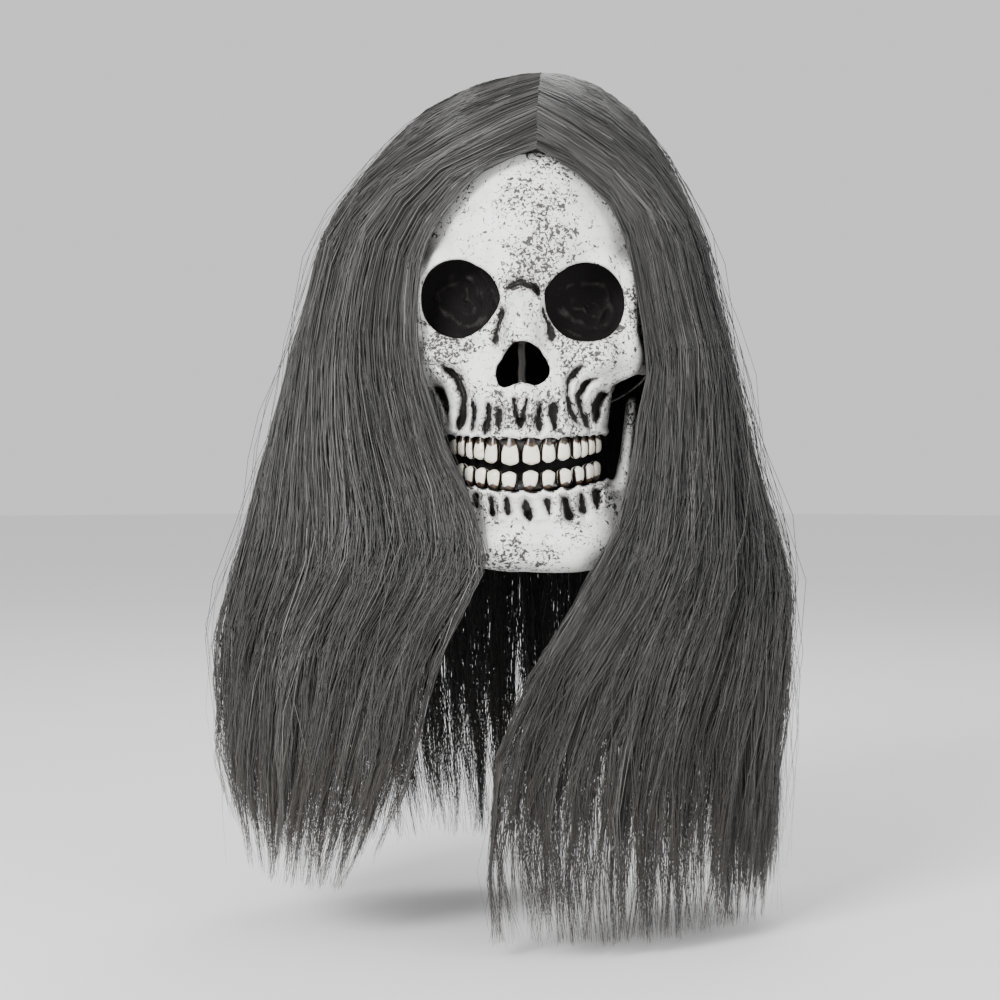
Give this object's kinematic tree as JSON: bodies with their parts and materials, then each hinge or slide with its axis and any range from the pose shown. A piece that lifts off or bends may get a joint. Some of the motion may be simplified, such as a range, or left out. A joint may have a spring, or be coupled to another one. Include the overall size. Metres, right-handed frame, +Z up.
{
  "type": "skull mask with hair",
  "caption": "Pull-over latex skull mask with cast teeth, gauze-backed openings, flexing lower jaw and a long centre-parted wig of loose synthetic hair",
  "frame": {"origin": "centre of the wearer's head at eye level, on the mask's mid-plane", "axes": "+X to the wearer's left, -Y out of the face, +Z up through the crown"},
  "size_m": [0.34, 0.2316, 0.4954],
  "materials": {
    "skull_shell": "bone-white painted latex with dark rubbed-in pits",
    "upper_teeth": "glossy ivory painted latex",
    "lower_teeth": "glossy ivory painted latex",
    "jaw_shell": "bone-white painted latex with dark rubbed-in pits",
    "left_eye_gauze": "black see-through gauze",
    "right_eye_gauze": "black see-through gauze",
    "mouth_gauze": "black see-through gauze",
    "wig_cap": "dark stretch cap",
    "parting_strip": "grey skin-top strip",
    "weft_1": "machine-sewn weft tape",
    "weft_2": "machine-sewn weft tape",
    "weft_3": "machine-sewn weft tape",
    "weft_4": "machine-sewn weft tape",
    "weft_5": "machine-sewn weft tape",
    "weft_6": "machine-sewn weft tape",
    "crown_hair_left": "smooth grey synthetic hair",
    "crown_hair_right": "smooth grey synthetic hair",
    "crown_hair_back": "smooth grey synthetic hair",
    "left_hair": "loose grey synthetic hair",
    "right_hair": "loose grey synthetic hair",
    "back_hair": "loose grey synthetic hair"
  },
  "bodies": {
    "skull": {"skull_shell": "skull_shell", "upper_teeth": "upper_teeth", "left_eye_gauze": "left_eye_gauze", "right_eye_gauze": "right_eye_gauze", "mouth_gauze": "mouth_gauze", "wig_cap": "wig_cap", "parting_strip": "parting_strip", "weft_1": "weft_1", "weft_2": "weft_2", "weft_3": "weft_3", "weft_4": "weft_4", "weft_5": "weft_5", "weft_6": "weft_6", "crown_hair_left": "crown_hair_left", "crown_hair_right": "crown_hair_right", "crown_hair_back": "crown_hair_back"},
    "jaw": {"jaw_shell": "jaw_shell", "lower_teeth": "lower_teeth"},
    "left_hair": {"left_hair": "left_hair"},
    "right_hair": {"right_hair": "right_hair"},
    "back_hair": {"back_hair": "back_hair"}
  },
  "joints": [
    {"name": "jaw_flex", "type": "hinge", "parent": "skull", "child": "jaw", "pos_m": [0, -0.024, -0.051], "axis": [1, 0, 0], "range_deg": [0, 12], "stiffness_Nm_per_rad": 0.8, "springref_deg": -17.19},
    {"name": "left_hair_lift", "type": "hinge", "parent": "skull", "child": "left_hair", "pos_m": [0.084, 0, 0], "axis": [0, -1, 0], "range_deg": [0, 18]},
    {"name": "right_hair_lift", "type": "hinge", "parent": "skull", "child": "right_hair", "pos_m": [-0.084, 0, 0], "axis": [0, 1, 0], "range_deg": [0, 16]},
    {"name": "back_hair_lift", "type": "hinge", "parent": "skull", "child": "back_hair", "pos_m": [0, 0.075, 0], "axis": [1, 0, 0], "range_deg": [0, 14]}
  ]
}
